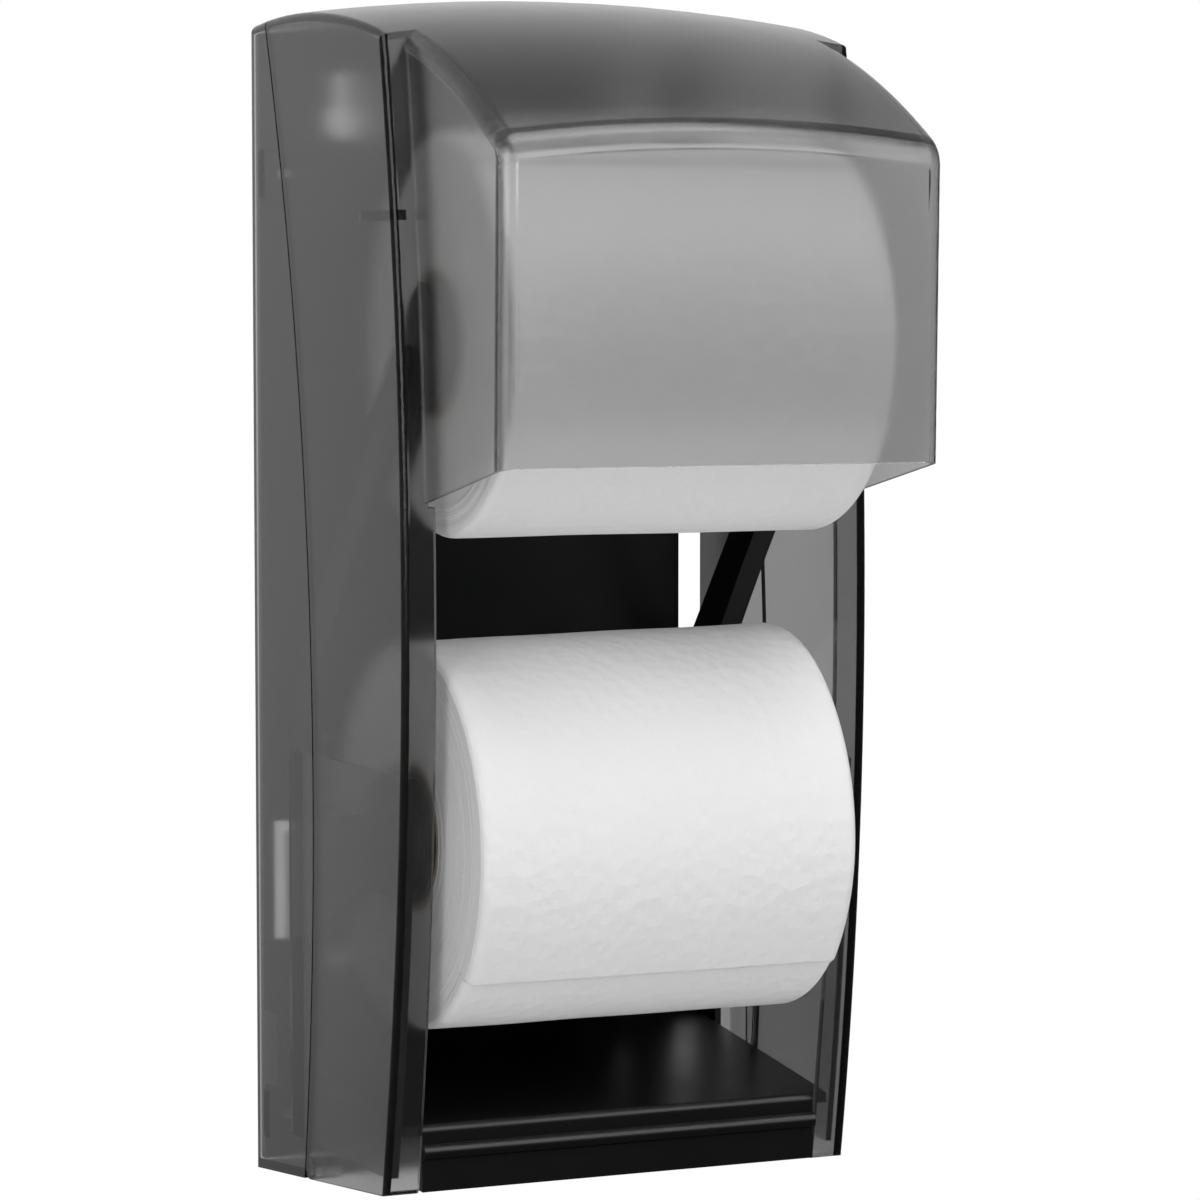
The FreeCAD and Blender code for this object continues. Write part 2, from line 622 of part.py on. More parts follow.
def make_arm(roll, root, bow):
    """Right-hand arm: foot on the plate, tapering web, eye for the spindle."""
    low, high = root
    centre = at(roll["y"], roll["height"])
    start_high, start_low = at(-PLATE_THICK, high), at(-PLATE_THICK, low)
    above = tangent_point(start_high, centre, ARM_NECK_RADIUS, -1)
    below = tangent_point(start_low, centre, ARM_NECK_RADIUS, 1)
    nose = centre + (centre - (start_high + start_low) * 0.5).normalize() * ARM_NECK_RADIUS
    edges = [line(start_high, above), arc(above, nose, below), bowed(below, start_low, bow)]
    edges.append(line(start_low, start_high))
    web = prism(edges, ARM_INNER, ARM_OUTER)
    rib = prism(edges, ARM_OUTER, ARM_OUTER + ARM_RIB_THICK)
    rib = rib.common(box(0, HALF_BACK, -ARM_RIB_DEPTH, 0.0, -BEYOND, BODY_HEIGHT))
    foot = box(ARM_INNER - ARM_FOOT_WIDTH, ARM_INNER + 1.0, -PLATE_THICK - ARM_FOOT_THICK, -PLATE_THICK,
               low, high)
    boss = rod_x(ARM_EYE_RADIUS, ARM_INNER, ARM_OUTER, roll["y"], roll["height"])
    arm = joined([web, boss, rib, foot])
    eye = rod_x(STUB_RADIUS + STUB_CLEAR, 0.0, HALF_BACK, roll["y"], roll["height"])
    pilots = [rod_y(TAPPER_RADIUS + TAPPER_CLEAR, -PLATE_THICK - ARM_FOOT_THICK - 1.0, 0.0, x, h)
              for x, h in arm_screw_places() if x > 0 and low < h < high]
    return arm.cut([eye] + pilots)


def make_sleeve(roll):
    """Left half of a spindle: tube with a closed end and a stub."""
    end = -ROLL_END - ARM_CLEAR + SPINDLE_END_GAP
    y, height = roll["y"], roll["height"]
    tube = rod_x(SPINDLE_RADIUS, end, SLEEVE_END, y, height)
    bore = rod_x(SPINDLE_RADIUS - SLEEVE_WALL, end + SLEEVE_WALL, SLEEVE_END + 1.0, y, height)
    stub = rod_x(STUB_RADIUS, -ARM_OUTER, end, y, height)
    return tube.cut(bore).fuse(stub).removeSplitter()


def plunger_tip():
    return SLEEVE_END - PLUNGER_OVERLAP


def make_plunger(roll):
    """Right half of a spindle: head, slim shank inside the sleeve, spring pocket."""
    end = ROLL_END + ARM_CLEAR - SPINDLE_END_GAP
    y, height = roll["y"], roll["height"]
    shank_radius = SPINDLE_RADIUS - SLEEVE_WALL - SLIP
    shoulder = SLEEVE_END + PLUNGER_TRAVEL + 2.0
    head = rod_x(SPINDLE_RADIUS, shoulder, end, y, height)
    shank = rod_x(shank_radius, plunger_tip(), shoulder, y, height)
    stub = rod_x(STUB_RADIUS, end, ARM_OUTER, y, height)
    pocket = rod_x(shank_radius - SLEEVE_WALL, plunger_tip() - 1.0, plunger_tip() + PLUNGER_SEAT, y, height)
    return head.fuse([shank, stub]).cut(pocket).removeSplitter()


def coil(start, axis, across, radius, wire, length, turns):
    """Round-wire spring of biarcs, a half turn at a time."""
    other = axis.cross(across)
    sweep = 2 * math.pi * turns
    steps = turns * 4

    def point(t):
        turn = sweep * t
        out = across * math.cos(turn) + other * math.sin(turn)
        return start + axis * (length * t) + out * radius

    def heading(t):
        turn = sweep * t
        way = axis * length + (other * math.cos(turn) - across * math.sin(turn)) * (radius * sweep)
        return way.normalize()

    edges = []
    for step in range(steps):
        a, b = step / steps, (step + 1) / steps
        p, q, u, w = point(a), point(b), heading(a), heading(b)
        chord, both = q - p, u + w
        spread = 2 * (1 - u.dot(w))
        leg = (math.sqrt(chord.dot(both) ** 2 + spread * chord.dot(chord)) - chord.dot(both)) / spread
        knee_a, knee_b = p + u * leg, q - w * leg
        meet = (knee_a + knee_b) * 0.5
        for start_point, knee, end_point in ((p, knee_a, meet), (meet, knee_b, q)):
            weight = (end_point - start_point).Length / (2 * leg)
            crest = (start_point + end_point + knee * (2 * weight)) * (1 / (2 + 2 * weight))
            edges.append(arc(start_point, crest, end_point))
    path = Part.Wire(edges)
    section = Part.Wire(Part.makeCircle(wire, point(0), heading(0)))
    samples = [point(i / (24 * turns)) for i in range(24 * turns + 1)]
    gap = min((samples[i + 24] - samples[i]).Length for i in range(len(samples) - 24)) - 2 * wire
    print("least gap between spring turns %.2f mm" % gap)
    return path.makePipeShell([section], True, False)


def make_spindle_spring(roll):
    """Compression spring between the sleeve's end wall and the plunger's pocket."""
    begin = -ROLL_END - ARM_CLEAR + SPINDLE_END_GAP + SLEEVE_WALL + SPINDLE_WIRE_RADIUS + 0.2
    finish = plunger_tip() + PLUNGER_SEAT - SPINDLE_WIRE_RADIUS - 0.2
    start = at(roll["y"], roll["height"], begin)
    return coil(start, X_AXIS, Z_AXIS, SPINDLE_COIL_RADIUS, SPINDLE_WIRE_RADIUS, finish - begin,
                SPINDLE_COIL_TURNS)


def make_core(roll):
    tube = rod_x(CORE_RADIUS, -ROLL_END, ROLL_END, roll["y"], roll["height"])
    return tube.cut(rod_x(CORE_BORE, -ROLL_END - 1.0, ROLL_END + 1.0, roll["y"], roll["height"]))


def make_paper(roll):
    """Wound paper: a full turn that ends in the step of the loose sheet."""
    centre = at(roll["y"], roll["height"])

    def rim(angle, radius):
        turn = math.radians(angle)
        return centre + V(0, radius * math.cos(turn), radius * math.sin(turn))

    tail, radius = roll["tail"], roll["radius"]
    inner, outer = radius - SHEET_STEP, radius
    start, half, finish = rim(tail, inner), rim(tail + 180, inner), rim(tail, outer)
    shift = rim(tail, SHEET_STEP / 2) - centre
    bulge = rim(tail + 270, inner + SHEET_STEP / 2) + shift
    edges = [arc(start, rim(tail + 90, inner), half), arc(half, bulge, finish), line(finish, start)]
    wound = prism(edges, -ROLL_END, ROLL_END)
    drum = rod_x(radius + SHEET_STEP, -ROLL_END, ROLL_END, roll["y"], roll["height"])
    drum = drum.makeFillet(ROLL_RIM, [e for e in drum.Edges if e.Closed])
    bore = rod_x(CORE_RADIUS + PAPER_SLACK, -ROLL_END - 1.0, ROLL_END + 1.0, roll["y"], roll["height"])
    return wound.common(drum).cut(bore)


def make_tray():
    """Black floor that rises to the plate, with a front lip and bead."""
    back, front = -PLATE_THICK, -TRAY_FRONT_DEPTH
    lip_half = WINDOW_WIDTH / 2 - LIP_END_CLEAR
    floor_half = half_width(front_depth(TRAY_FRONT_HEIGHT), WALL) - TRAY_SIDE_CLEAR
    behind_strip = -front_depth(TRAY_FRONT_HEIGHT, WALL) + TRAY_STRIP_CLEAR
    floor = polygon([at(back, TRAY_BACK_HEIGHT), at(front, TRAY_FRONT_HEIGHT),
                     at(front, TRAY_FRONT_HEIGHT - TRAY_THICK), at(back, TRAY_BACK_HEIGHT - TRAY_THICK)])
    wide = prism(floor, -floor_half, floor_half)
    wide = wide.common(box(-floor_half, floor_half, behind_strip, back, -BEYOND, BODY_HEIGHT))
    narrow = prism(floor, -lip_half, lip_half)
    lip = box(-lip_half, lip_half, front, front + LIP_THICK, LIP_LOW_HEIGHT, TRAY_FRONT_HEIGHT)
    bead = rod_x(BEAD_RADIUS, -lip_half, lip_half, front, BEAD_HEIGHT)
    flange = box(-TRAY_FLANGE_WIDTH / 2, TRAY_FLANGE_WIDTH / 2, back - TRAY_THICK, back,
                 TRAY_BACK_HEIGHT - TRAY_THICK, TRAY_BACK_HEIGHT + TRAY_FLANGE_TALL)
    nose = narrow.fuse(lip).removeSplitter()
    crest = at(front, TRAY_FRONT_HEIGHT)
    edge = edges_where(nose, lambda p: (p - V(p.x, crest.y, crest.z)).Length < 0.01)
    nose = nose.makeFillet(LIP_ROUND, edge)
    tray = joined([nose, wide, bead, flange])
    return tray.cut([rod_y(TAPPER_RADIUS + TAPPER_CLEAR, back - TRAY_THICK - 1.0, 0.0, x, h)
                     for x, h in tray_screw_places()])


def make_hinge_pin():
    """Right-hand steel pin from the ear into the cover's lug."""
    inner = ear_outer() - EAR_LENGTH
    return rod_x(HINGE_PIN_RADIUS, inner, hinge_pin_end() - HINGE_END_GAP, -HINGE_DEPTH, HINGE_HEIGHT)


def make_latch():
    """Sliding latch: stem in the top slot, arm and upturned tooth."""
    half = LATCH_WIDTH / 2
    top, back, front = latch_top(), latch_back(), latch_front()
    tooth_back = -CATCH_DEPTH - CATCH_THICK - CATCH_CLEAR
    tooth_front = tooth_back - LATCH_TOOTH_THICK
    arm_top = top - LATCH_ARM_DROP
    stem = box(-half, half, front, back, top - LATCH_LENGTH, top).common(crown_block(LATCH_TOP_SINK))
    arm = box(-half, half, tooth_front, back, arm_top - LATCH_ARM_THICK, arm_top)
    tooth = box(-half, half, tooth_front, tooth_back, arm_top - LATCH_ARM_THICK, arm_top + LATCH_TOOTH_TALL)
    return joined([stem, arm, tooth])


def latch_foot():
    return latch_top() - LATCH_LENGTH


def make_latch_guide():
    """Channel on the plate that the latch slides in, with a stop below it."""
    inner = LATCH_WIDTH / 2 + LATCH_SLIP
    outer = inner + GUIDE_RAIL_WIDTH
    seat_top = latch_foot() - LATCH_FOOT_GAP
    low = seat_top - LATCH_SEAT_THICK
    front = latch_front() - LATCH_SLIP
    rail_high = latch_top() - LATCH_ARM_DROP - LATCH_ARM_THICK - LATCH_SLIP
    pieces = [side(box(inner, outer, front, -PLATE_THICK, low, rail_high)) for side in SIDES]
    bridge_high = seat_top + GUIDE_BRIDGE_TALL
    pieces.append(box(-outer, outer, front - GUIDE_BRIDGE_THICK, front, low, bridge_high))
    pieces.append(box(-outer, outer, front, -PLATE_THICK, low, seat_top))
    return joined(pieces)


def export(name, shape):
    """Write one node and print its solids and volume."""
    shape.exportStep("parts/%s.step" % name)
    state = "" if shape.isValid() else "  not valid"
    print("%-24s %2d solids %10.1f mm3%s" % (name, len(shape.Solids), shape.Volume, state))


def as_is(shape):
    return shape


SIDES = (as_is, mirrored)
SIDE_NAMES = ("right", "left")


def main():
    os.makedirs("parts", exist_ok=True)
    export("rear_housing", make_rear_housing())
    export("back_plate", make_back_plate())
    export("cover", make_cover())
    export("base_tray", make_tray())
    for name, side in zip(SIDE_NAMES, SIDES):
        export("hinge_pin_" + name, side(make_hinge_pin()))
        export("upper_arm_" + name, side(make_arm(UPPER_ROLL, UPPER_ARM_ROOT, UPPER_ARM_BOW)))
        export("lower_arm_" + name, side(make_arm(LOWER_ROLL, LOWER_ARM_ROOT, LOWER_ARM_BOW)))
    for name, roll in (("upper", UPPER_ROLL), ("lower", LOWER_ROLL)):
        export(name + "_spindle_sleeve", make_sleeve(roll))
        export(name + "_spindle_plunger", make_plunger(roll))
        export(name + "_spindle_spring", make_spindle_spring(roll))
        export(name + "_roll_core", make_core(roll))
        export(name + "_roll_paper", make_paper(roll))
    export("latch_slide", make_latch())
    export("latch_guide", make_latch_guide())
    for name, places in (("plate_screws", plate_screw_places()), ("arm_screws", arm_screw_places()),
                         ("tray_screws", tray_screw_places())):
        export(name, Part.makeCompound([tapper(x, h) for x, h in places]))


main()
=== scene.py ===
"""Looks of a twin-roll toilet paper dispenser: smoke mouldings, black chassis, two wound rolls."""
import json
import logging
import math
from dataclasses import dataclass
from enum import Enum

import bpy
import numpy as np
from mathutils import Euler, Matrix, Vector


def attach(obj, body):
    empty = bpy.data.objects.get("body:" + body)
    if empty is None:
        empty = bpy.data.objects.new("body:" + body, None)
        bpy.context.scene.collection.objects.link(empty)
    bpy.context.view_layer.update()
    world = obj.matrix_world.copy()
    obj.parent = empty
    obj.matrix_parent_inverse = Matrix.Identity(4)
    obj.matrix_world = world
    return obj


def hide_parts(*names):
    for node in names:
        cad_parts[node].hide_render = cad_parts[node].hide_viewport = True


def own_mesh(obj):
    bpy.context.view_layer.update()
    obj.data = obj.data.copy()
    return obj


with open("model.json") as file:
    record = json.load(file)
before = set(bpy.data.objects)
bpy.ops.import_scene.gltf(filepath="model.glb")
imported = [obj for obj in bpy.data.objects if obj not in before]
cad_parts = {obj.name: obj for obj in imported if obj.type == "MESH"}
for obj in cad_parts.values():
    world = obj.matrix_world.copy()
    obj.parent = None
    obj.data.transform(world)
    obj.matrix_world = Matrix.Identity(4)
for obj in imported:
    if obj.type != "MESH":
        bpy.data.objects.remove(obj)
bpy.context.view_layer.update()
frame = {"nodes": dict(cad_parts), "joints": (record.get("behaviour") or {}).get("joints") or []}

LOG = logging.getLogger("dispenser")
MM = 0.001


class Slot(Enum):
    """Material slots of the record."""

    STEEL = "steel"
    PAPER = "paper"


class Body(Enum):
    """Bodies of the frame that new pieces ride on."""

    CHASSIS = "chassis"
    UPPER_ROLL = "upper_roll"
    LOWER_ROLL = "lower_roll"


def joint_row(name: str) -> dict:
    """Row of the frame's joint with this name."""
    return next(joint for joint in frame["joints"] if joint["name"] == name)


class Axle(Enum):
    """Joints that the two rolls turn about."""

    UPPER = "upper_roll_spin"
    LOWER = "lower_roll_spin"

    def centre(self) -> tuple[float, float]:
        """Place of the axle in the side view, as y and z in metres."""
        return tuple(joint_row(self.value)["pos_m"][1:])


def linear(colour: str) -> tuple[float, float, float, float]:
    """Turns an sRGB hex colour into linear values.

    Args:
        colour: six hex digits after a hash sign.

    Returns:
        Red, green, blue and an alpha of 1, linear.
    """
    parts = np.array([int(colour[i:i + 2], 16) for i in (1, 3, 5)]) / 255.0
    lin = np.where(parts <= 0.04045, parts / 12.92, ((parts + 0.055) / 1.055) ** 2.4)
    return (*(float(v) for v in lin), 1.0)


def add_node(tree: bpy.types.NodeTree, kind: str, links: dict | None = None, **settings) -> bpy.types.Node:
    """Adds one node to a tree.

    Args:
        tree: the tree that gets the node.
        kind: the node's type name.
        links: input socket (name or number) to a value or to another node's output socket.
        settings: plain properties of the node.

    Returns:
        The new node.
    """
    node = tree.nodes.new(kind)
    for name, value in settings.items():
        setattr(node, name, value)
    for socket, value in (links or {}).items():
        if isinstance(value, bpy.types.NodeSocket):
            tree.links.new(value, node.inputs[socket])
        else:
            node.inputs[socket].default_value = value
    return node


def new_material(name: str) -> tuple[bpy.types.Material, bpy.types.NodeTree, bpy.types.Node]:
    """Makes an empty node material.

    Args:
        name: the material's name.

    Returns:
        The material, its tree and its output node.
    """
    material = bpy.data.materials.new(name)
    material.use_nodes = True
    tree = material.node_tree
    tree.nodes.clear()
    return material, tree, add_node(tree, "ShaderNodeOutputMaterial")


def grid_faces(rows: int, columns: int) -> np.ndarray:
    """Faces of a grid of points counted row by row, whose last column joins the first.

    Args:
        rows: points along the first direction.
        columns: points along the second direction.

    Returns:
        Four point numbers for each face.
    """
    row, column = np.meshgrid(np.arange(rows - 1), np.arange(columns), indexing="ij")
    right = (column + 1) % columns
    return np.stack([row * columns + column, row * columns + right,
                     (row + 1) * columns + right, (row + 1) * columns + column], -1).reshape(-1, 4)


def mesh_object(name: str, points: np.ndarray, faces: np.ndarray,
                uv: np.ndarray | None = None) -> bpy.types.Object:
    """Puts computed points and four-sided faces in a smooth mesh.

    Args:
        name: the object's name.
        points: one row of x, y, z in metres for each point.
        faces: four point numbers for each face.
        uv: two texture values for each point.

    Returns:
        The linked object, at the origin.
    """
    mesh = bpy.data.meshes.new(name)
    mesh.vertices.add(len(points))
    mesh.vertices.foreach_set("co", np.asarray(points, np.float32).ravel())
    mesh.loops.add(faces.size)
    mesh.loops.foreach_set("vertex_index", faces.ravel().astype(np.int32))
    mesh.polygons.add(len(faces))
    mesh.polygons.foreach_set("loop_start", np.arange(0, faces.size, 4, dtype=np.int32))
    mesh.update(calc_edges=True)
    mesh.shade_smooth()
    if uv is not None:
        layer = mesh.uv_layers.new(name="UVMap")
        layer.data.foreach_set("uv", uv[faces.ravel()].astype(np.float32).ravel())
    mesh.validate()
    thing = bpy.data.objects.new(name, mesh)
    bpy.context.scene.collection.objects.link(thing)
    return thing


@dataclass(frozen=True)
class SmokeStyrene:
    """Smoke-grey polystyrene, injection moulded in a polished tool.

    hood_mm holds the depths between which the face turns from the hood's gloss to the
    panels'; seam_mm holds three points of the seam as y and z, and seam_band_mm the
    reach of the painted shade band along the seam to both sides.
    """

    name: str = "smoke_polystyrene_injection_moulded"
    grey: str = "#101011"
    skin: str = "#fdfdfd"
    clear: str = "#fafafa"
    absorb_per_m: float = 198.0
    ior: float = 1.50
    roughness: float = 0.11
    hood_roughness: float = 0.18
    hood_mm: tuple[float, float] = (-120.0, -70.0)
    flow_mm: float = 16.7
    flow_share: float = 1.4
    # edge: near-black colour of the band along the seam, painted shade for the gap between the mouldings
    edge: str = "#070708"
    seam_shade_roughness: float = 0.6
    seam_mm: tuple[tuple[float, float], ...] = ((-38.0, -58.01), (-46.0, 52.87), (-10.0, 280.0))
    seam_band_mm: tuple[float, float] = (-0.15, 0.75)

    def seam_circle(self) -> tuple[np.ndarray, float]:
        """Circle through the three points of the seam in the side view.

        Returns:
            Its middle as y and z and its radius, in metres.
        """
        points = np.array(self.seam_mm) * MM
        system = np.column_stack([2 * points, np.ones(3)])
        y, z, rest = np.linalg.solve(system, (points ** 2).sum(1))
        return np.array([y, z]), float(np.sqrt(rest + y * y + z * z))

    def seam_mask(self, tree: bpy.types.NodeTree, place: bpy.types.NodeSocket) -> bpy.types.NodeSocket:
        """Marks the band along the seam, by the distance from the seam's circle.

        Args:
            tree: the material's tree.
            place: the object coordinates.

        Returns:
            A value of 1 inside the band and 0 elsewhere.
        """
        middle, radius = self.seam_circle()
        side = add_node(tree, "ShaderNodeVectorMath", {0: place, 1: (0.0, 1.0, 1.0)}, operation="MULTIPLY")
        away = add_node(tree, "ShaderNodeVectorMath", {
            0: side.outputs[0], 1: (0.0, *(float(v) for v in middle))}, operation="DISTANCE")
        low, high = (radius + MM * v for v in self.seam_band_mm)
        inside = add_node(tree, "ShaderNodeMath", {
            0: away.outputs["Value"], 1: (low + high) / 2, 2: (high - low) / 2}, operation="COMPARE")
        return inside.outputs[0]

    def make(self) -> bpy.types.Material:
        """Makes the material.

        The wall takes light by its thickness, so rounded edges and walls seen end on
        go dark and flat walls stay clear; the polished skin mirrors the room,
        and the hood is duller than the panels.
        Lamps and soft light pass straight through, weakened by the wall alone.
        The seam is painted as a matt, nearly black band: painted shade for the gap between the two mouldings,
        and a painted dark reflection of their rounded edges.

        Returns:
            The material.
        """
        material, tree, out = new_material(self.name)
        coords = add_node(tree, "ShaderNodeTexCoord")
        flow = add_node(tree, "ShaderNodeTexNoise", {
            "Vector": coords.outputs["Object"], "Scale": 1.0 / (self.flow_mm * MM), "Detail": 2.0})
        uneven = add_node(tree, "ShaderNodeMapRange", {
            "Value": flow.outputs["Fac"], "To Min": 1.0, "To Max": self.flow_share})
        axis = add_node(tree, "ShaderNodeSeparateXYZ", {0: coords.outputs["Object"]})
        dull = add_node(tree, "ShaderNodeMapRange", {
            "Value": axis.outputs["Y"], "From Min": MM * self.hood_mm[0], "From Max": MM * self.hood_mm[1],
            "To Min": self.hood_roughness, "To Max": self.roughness})
        haze = add_node(tree, "ShaderNodeMath", {
            0: dull.outputs["Result"], 1: uneven.outputs["Result"]}, operation="MULTIPLY")
        skin = add_node(tree, "ShaderNodeBsdfPrincipled", {
            "Base Color": linear(self.skin), "Roughness": haze.outputs[0], "IOR": self.ior,
            "Transmission Weight": 1.0})
        # Painted shade: a matt near-black band along the seam stands for the shade in the gap between the
        # mouldings
        painted_seam_shade = add_node(tree, "ShaderNodeBsdfPrincipled", {
            "Base Color": linear(self.edge), "Roughness": self.seam_shade_roughness})
        seam = self.seam_mask(tree, coords.outputs["Object"])
        face = add_node(tree, "ShaderNodeMixShader", {0: seam, 1: skin.outputs[0], 2: painted_seam_shade.outputs[0]})
        clear = add_node(tree, "ShaderNodeBsdfTransparent", {"Color": linear(self.clear)})
        path = add_node(tree, "ShaderNodeLightPath")
        straight = add_node(tree, "ShaderNodeMath", {
            0: path.outputs["Is Shadow Ray"], 1: path.outputs["Is Diffuse Ray"]}, operation="MAXIMUM")
        both = add_node(tree, "ShaderNodeMixShader", {
            0: straight.outputs[0], 1: face.outputs[0], 2: clear.outputs[0]})
        smoke = add_node(tree, "ShaderNodeVolumeAbsorption", {
            "Color": linear(self.grey), "Density": self.absorb_per_m})
        tree.links.new(both.outputs[0], out.inputs["Surface"])
        tree.links.new(smoke.outputs[0], out.inputs["Volume"])
        return material


@dataclass(frozen=True)
class OpaquePlastic:
    """Black ABS or grey acetal, injection moulded with a satin or a smoother face."""

    name: str
    colour: str
    roughness: float
    grain_mm: float = 0.35
    grain_depth_mm: float = 0.04
    grain_strength: float = 0.25
    wear_mm: float = 22.2
    wear_share: tuple[float, float] = (0.85, 1.25)
    ior: float = 1.53

    def make(self) -> bpy.types.Material:
        """Makes the material.

        A fine grain breaks up the reflections a little, as a moulded face does. It is
        drawn coarser than the real grain, which would not show.

        Returns:
            The material.
        """
        material, tree, out = new_material(self.name)
        coords = add_node(tree, "ShaderNodeTexCoord")
        grain = add_node(tree, "ShaderNodeTexNoise", {
            "Vector": coords.outputs["Object"], "Scale": 1.0 / (self.grain_mm * MM), "Detail": 2.0})
        bump = add_node(tree, "ShaderNodeBump", {
            "Height": grain.outputs["Fac"], "Strength": self.grain_strength,
            "Distance": self.grain_depth_mm * MM})
        wear = add_node(tree, "ShaderNodeTexNoise", {
            "Vector": coords.outputs["Object"], "Scale": 1.0 / (self.wear_mm * MM), "Detail": 4.0})
        rough = add_node(tree, "ShaderNodeMapRange", {
            "Value": wear.outputs["Fac"], "To Min": self.roughness * self.wear_share[0],
            "To Max": self.roughness * self.wear_share[1]})
        skin = add_node(tree, "ShaderNodeBsdfPrincipled", {
            "Base Color": linear(self.colour), "Roughness": rough.outputs["Result"], "IOR": self.ior,
            "Normal": bump.outputs["Normal"]})
        tree.links.new(skin.outputs[0], out.inputs["Surface"])
        return material


@dataclass(frozen=True)
class Tissue:
    """Bleached tissue, creped, dot-embossed and wound."""

    name: str = "bleached_tissue_embossed_and_wound"
    colour: str = "#f2f2f2"
    # shade: painted shade colour for the sideways-facing ends
    shade: str = "#eaeaea"
    cell_mm: float = 4.5
    cell_depth_mm: float = 0.6
    crepe_mm: float = 1.61
    crepe_depth_mm: float = 0.3
    layer_mm: float = 0.55
    layer_run_mm: float = 166.7
    end_facing: tuple[float, float] = (0.6, 0.95)
    press_strength: float = 0.6
    roughness: float = 0.95
    specular: float = 0.15
    sheen: float = 0.15

    def make(self) -> bpy.types.Material:
        """Makes the material.

        The sheet shows shallow pressed dots and crepe fibres; the ends show the
        edges of the wound layers as fine rings and are painted a little greyer than the sheet, as painted
        shade on the sideways faces.
        Crepe and layers are drawn coarser than the real ones, which would not show.

        Returns:
            The material.
        """
        material, tree, out = new_material(self.name)
        coords = add_node(tree, "ShaderNodeTexCoord")
        dots = add_node(tree, "ShaderNodeTexVoronoi", {
            "Vector": coords.outputs["UV"], "Scale": 1.0 / (self.cell_mm * MM),
            "Randomness": 1.0, "Smoothness": 0.5}, feature="SMOOTH_F1", voronoi_dimensions="2D")
        crepe = add_node(tree, "ShaderNodeTexNoise", {
            "Vector": coords.outputs["Object"], "Scale": 1.0 / (self.crepe_mm * MM),
            "Detail": 4.0, "Roughness": 0.6})
        mapping = add_node(tree, "ShaderNodeMapping", {
            "Vector": coords.outputs["UV"],
            "Scale": (1.0 / (self.layer_run_mm * MM), 1.0 / (self.layer_mm * MM), 1.0)})
        rings = add_node(tree, "ShaderNodeTexNoise", {
            "Vector": mapping.outputs[0], "Scale": 1.0, "Detail": 3.0})
        facing = add_node(tree, "ShaderNodeSeparateXYZ", {0: coords.outputs["Normal"]})
        side = add_node(tree, "ShaderNodeMath", {0: facing.outputs["X"]}, operation="ABSOLUTE")
        end = add_node(tree, "ShaderNodeMapRange", {
            "Value": side.outputs[0], "From Min": self.end_facing[0], "From Max": self.end_facing[1]},
            interpolation_type="SMOOTHSTEP")
        pressed = add_node(tree, "ShaderNodeMix", {
            "Factor": end.outputs["Result"], "A": dots.outputs["Distance"], "B": rings.outputs["Fac"]},
            data_type="FLOAT")
        coarse = add_node(tree, "ShaderNodeBump", {
            "Height": pressed.outputs["Result"], "Strength": self.press_strength,
            "Distance": self.cell_depth_mm * MM})
        fine = add_node(tree, "ShaderNodeBump", {
            "Height": crepe.outputs["Fac"], "Strength": self.press_strength,
            "Distance": self.crepe_depth_mm * MM, "Normal": coarse.outputs["Normal"]})
        # Painted shade: faces whose normal points sideways, the ends, take the greyer shade colour
        tone = add_node(tree, "ShaderNodeMix", {
            0: end.outputs["Result"], 6: linear(self.colour), 7: linear(self.shade)}, data_type="RGBA")
        skin = add_node(tree, "ShaderNodeBsdfPrincipled", {
            "Base Color": tone.outputs[2], "Roughness": self.roughness, "Specular IOR Level": self.specular,
            "Sheen Weight": self.sheen, "Normal": fine.outputs["Normal"]})
        tree.links.new(skin.outputs[0], out.inputs["Surface"])
        return material


@dataclass(frozen=True)
class CoreBoard:
    """Grey-brown board, wound on a slant into a tube."""

    name: str = "grey_board_spiral_wound"
    colour: str = "#b3a48f"
    roughness: float = 0.9
    fibre_mm: float = 2.38
    fibre_depth_mm: float = 0.1
    fibre_strength: float = 0.4
    fibre_light: tuple[float, float] = (0.8, 1.15)

    def make(self) -> bpy.types.Material:
        """Makes the material: matt, with short fibres in the colour.

        Returns:
            The material.
        """
        material, tree, out = new_material(self.name)
        coords = add_node(tree, "ShaderNodeTexCoord")
        fibre = add_node(tree, "ShaderNodeTexNoise", {
            "Vector": coords.outputs["Object"], "Scale": 1.0 / (self.fibre_mm * MM),
            "Detail": 6.0, "Distortion": 0.6})
        light = add_node(tree, "ShaderNodeMapRange", {
            "Value": fibre.outputs["Fac"], "To Min": self.fibre_light[0], "To Max": self.fibre_light[1]})
        tone = add_node(tree, "ShaderNodeHueSaturation", {
            "Color": linear(self.colour), "Value": light.outputs["Result"]})
        bump = add_node(tree, "ShaderNodeBump", {
            "Height": fibre.outputs["Fac"], "Strength": self.fibre_strength,
            "Distance": self.fibre_depth_mm * MM})
        skin = add_node(tree, "ShaderNodeBsdfPrincipled", {
            "Base Color": tone.outputs[0], "Roughness": self.roughness, "Normal": bump.outputs["Normal"]})
        tree.links.new(skin.outputs[0], out.inputs["Surface"])
        return material


